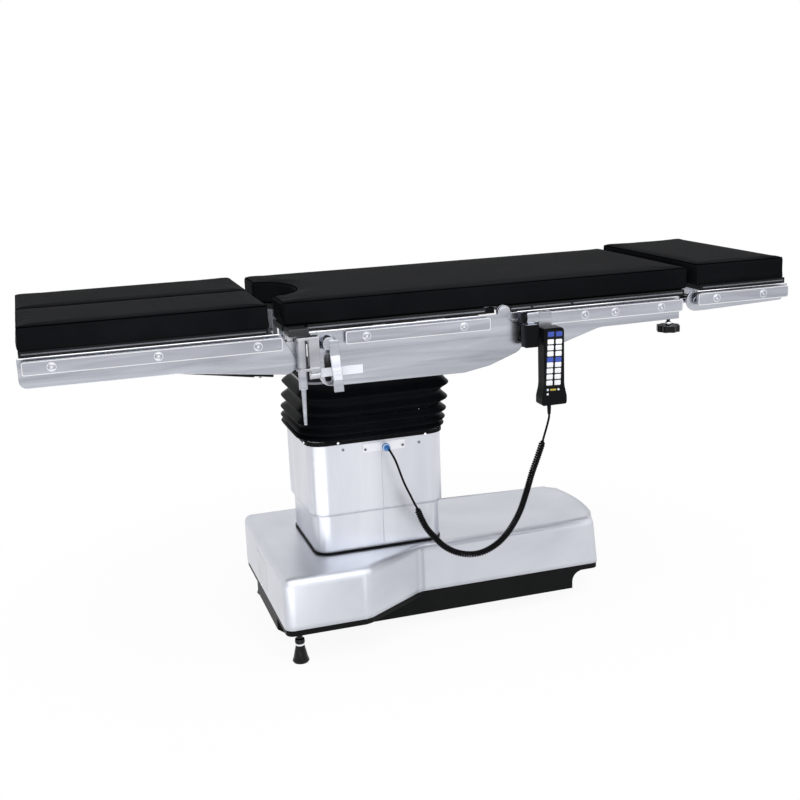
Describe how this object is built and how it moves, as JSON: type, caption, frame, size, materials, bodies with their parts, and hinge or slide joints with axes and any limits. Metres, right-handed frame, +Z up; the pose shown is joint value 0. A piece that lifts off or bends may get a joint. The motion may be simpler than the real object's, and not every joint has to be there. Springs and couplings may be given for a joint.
{
  "type": "operating table",
  "caption": "Mobile operating table: low steel base, telescopic column with bellows, sliding and tilting padded top in hinged sections, side rails, levers and a corded hand pendant.",
  "frame": {"origin": "on the floor under the centre of the table's bounding box", "axes": "+X along the table towards its head end, +Y to the patient's right, +Z up"},
  "size_m": [2.0396, 0.6546, 0.9596],
  "materials": {
    "stainless": "satin",
    "steel": "satin",
    "chassis_black": "matte",
    "cast_metal": "satin",
    "rubber": "matte",
    "wheel_rubber": "matte",
    "black_plastic": "matte",
    "blue_plastic": "gloss",
    "pad_cover": "satin",
    "board": "matte"
  },
  "bodies": {
    "base": {"base_chassis": "chassis_black", "base_cover": "stainless", "column_gasket": "rubber", "lower_column_sleeve": "stainless", "power_unit": "cast_metal"},
    "column": {"lift_carriage": "steel", "upper_column_sleeve": "stainless", "bellows_clamp": "black_plastic", "bellows": "rubber", "connector_socket": "stainless", "cord_plug": "blue_plastic", "cord_lead": "black_plastic", "cord_coil": "black_plastic", "cord_tail": "black_plastic"},
    "tilt_cross": {"tilt_cross": "steel"},
    "tilt_saddle": {"tilt_saddle": "steel"},
    "seat": {"seat_frame": "stainless", "seat_board": "board", "seat_pad": "pad_cover", "seat_rail_left": "stainless", "seat_rail_right": "stainless", "leg_bracket_left": "stainless", "leg_bracket_right": "stainless"},
    "back": {"back_frame": "stainless", "back_board": "board", "back_pad": "pad_cover", "back_rail_left": "stainless", "back_rail_right": "stainless"},
    "head_carrier": {"head_bracket": "stainless"},
    "head": {"head_frame": "stainless", "head_board": "board", "head_pad": "pad_cover", "head_rail_left": "stainless", "head_rail_right": "stainless"},
    "pendant": {"pendant_hook": "black_plastic", "pendant_body": "black_plastic"},
    "rear_wheels": {"rear_wheelset": "wheel_rubber"},
    "foot_head": {"brake_foot_head": "rubber"},
    "foot_left": {"brake_foot_left": "rubber"},
    "castor_left": {"castor_fork_left": "steel"},
    "castor_wheel_left": {"castor_wheel_left": "wheel_rubber"},
    "side_lever_left": {"side_lever_left": "stainless"},
    "leg_lock_left": {"leg_lock_handle_left": "stainless"},
    "leg_knuckle_left": {"leg_knuckle_left": "cast_metal"},
    "leg_left": {"leg_frame_left": "stainless", "leg_board_left": "board", "leg_pad_left": "pad_cover", "leg_rail_left": "stainless"},
    "head_knob_left": {"head_knob_left": "black_plastic"},
    "foot_right": {"brake_foot_right": "rubber"},
    "castor_right": {"castor_fork_right": "steel"},
    "castor_wheel_right": {"castor_wheel_right": "wheel_rubber"},
    "side_lever_right": {"side_lever_right": "stainless"},
    "leg_lock_right": {"leg_lock_handle_right": "stainless"},
    "leg_knuckle_right": {"leg_knuckle_right": "cast_metal"},
    "leg_right": {"leg_frame_right": "stainless", "leg_board_right": "board", "leg_pad_right": "pad_cover", "leg_rail_right": "stainless"},
    "head_knob_right": {"head_knob_right": "black_plastic"}
  },
  "joints": [
    {"name": "lift", "type": "slide", "parent": "base", "child": "column", "axis": [0, 0, 1], "range_m": [-0.095, 0.145]},
    {"name": "longitudinal_tilt", "type": "hinge", "parent": "column", "child": "tilt_cross", "pos_m": [-0.1395, 0, 0.672], "axis": [0, 1, 0], "range_deg": [-25, 25], "deforming": ["bellows"]},
    {"name": "lateral_tilt", "type": "hinge", "parent": "tilt_cross", "child": "tilt_saddle", "pos_m": [-0.1395, 0, 0.706], "axis": [1, 0, 0], "range_deg": [-18, 18]},
    {"name": "top_slide", "type": "slide", "parent": "tilt_saddle", "child": "seat", "axis": [1, 0, 0], "range_m": [-0.16, 0.06], "deforming": ["cord_lead", "cord_coil", "cord_tail"]},
    {"name": "back_hinge", "type": "hinge", "parent": "seat", "child": "back", "pos_m": [0.175, 0, 0.88], "axis": [0, -1, 0], "range_deg": [-20, 75], "deforming": ["seat_pad"]},
    {"name": "head_pullout", "type": "slide", "parent": "back", "child": "head_carrier", "axis": [1, 0, 0], "range_m": [0, 0.12]},
    {"name": "head_tilt", "type": "hinge", "parent": "head_carrier", "child": "head", "pos_m": [0.737, 0, 0.86], "axis": [0, 1, 0], "range_deg": [-45, 90], "deforming": ["head_pad"]},
    {"name": "pendant_lift", "type": "slide", "parent": "back", "child": "pendant", "axis": [0, 0, 1], "range_m": [0, 0.05]},
    {"name": "foot_head_slide", "type": "slide", "parent": "base", "child": "foot_head", "axis": [0, 0, 1], "range_m": [-0.01, 0.015]},
    {"name": "rear_axle", "type": "hinge", "parent": "base", "child": "rear_wheels", "pos_m": [0.34, 0, 0.037], "axis": [0, 1, 0], "continuous": true},
    {"name": "foot_left_slide", "type": "slide", "parent": "base", "child": "foot_left", "axis": [0, 0, 1], "range_m": [-0.01, 0.015]},
    {"name": "castor_swivel_left", "type": "hinge", "parent": "base", "child": "castor_left", "pos_m": [-0.33, -0.075, 0.0887], "axis": [0, 0, 1], "continuous": true},
    {"name": "castor_roll_left", "type": "hinge", "parent": "castor_left", "child": "castor_wheel_left", "pos_m": [-0.346, -0.075, 0.037], "axis": [0, 1, 0], "continuous": true},
    {"name": "side_lever_left_turn", "type": "hinge", "parent": "seat", "child": "side_lever_left", "pos_m": [-0.293, -0.29, 0.847], "axis": [0, -1, 0], "range_deg": [0, 75]},
    {"name": "leg_lock_left_turn", "type": "hinge", "parent": "seat", "child": "leg_lock_left", "pos_m": [-0.359, -0.287, 0.76], "axis": [0, 0, 1], "range_deg": [-90, 90]},
    {"name": "leg_left_swing", "type": "hinge", "parent": "seat", "child": "leg_knuckle_left", "pos_m": [-0.359, -0.287, 0.803], "axis": [0, 0, 1], "range_deg": [0, 90]},
    {"name": "leg_left_flex", "type": "hinge", "parent": "leg_knuckle_left", "child": "leg_left", "pos_m": [-0.397, -0.24, 0.803], "axis": [0, -1, 0], "range_deg": [-10, 80]},
    {"name": "head_knob_left_turn", "type": "hinge", "parent": "back", "child": "head_knob_left", "pos_m": [0.668, -0.246, 0.8], "axis": [0, 0, 1], "continuous": true},
    {"name": "foot_right_slide", "type": "slide", "parent": "base", "child": "foot_right", "axis": [0, 0, 1], "range_m": [-0.01, 0.015]},
    {"name": "castor_swivel_right", "type": "hinge", "parent": "base", "child": "castor_right", "pos_m": [-0.33, 0.075, 0.0887], "axis": [0, 0, 1], "continuous": true},
    {"name": "castor_roll_right", "type": "hinge", "parent": "castor_right", "child": "castor_wheel_right", "pos_m": [-0.346, 0.075, 0.037], "axis": [0, 1, 0], "continuous": true},
    {"name": "side_lever_right_turn", "type": "hinge", "parent": "seat", "child": "side_lever_right", "pos_m": [-0.293, 0.29, 0.847], "axis": [0, -1, 0], "range_deg": [0, 75]},
    {"name": "leg_lock_right_turn", "type": "hinge", "parent": "seat", "child": "leg_lock_right", "pos_m": [-0.359, 0.287, 0.76], "axis": [0, 0, 1], "range_deg": [-90, 90]},
    {"name": "leg_right_swing", "type": "hinge", "parent": "seat", "child": "leg_knuckle_right", "pos_m": [-0.359, 0.287, 0.803], "axis": [0, 0, -1], "range_deg": [0, 90]},
    {"name": "leg_right_flex", "type": "hinge", "parent": "leg_knuckle_right", "child": "leg_right", "pos_m": [-0.397, 0.24, 0.803], "axis": [0, -1, 0], "range_deg": [-10, 80]},
    {"name": "head_knob_right_turn", "type": "hinge", "parent": "back", "child": "head_knob_right", "pos_m": [0.668, 0.246, 0.8], "axis": [0, 0, 1], "continuous": true}
  ]
}
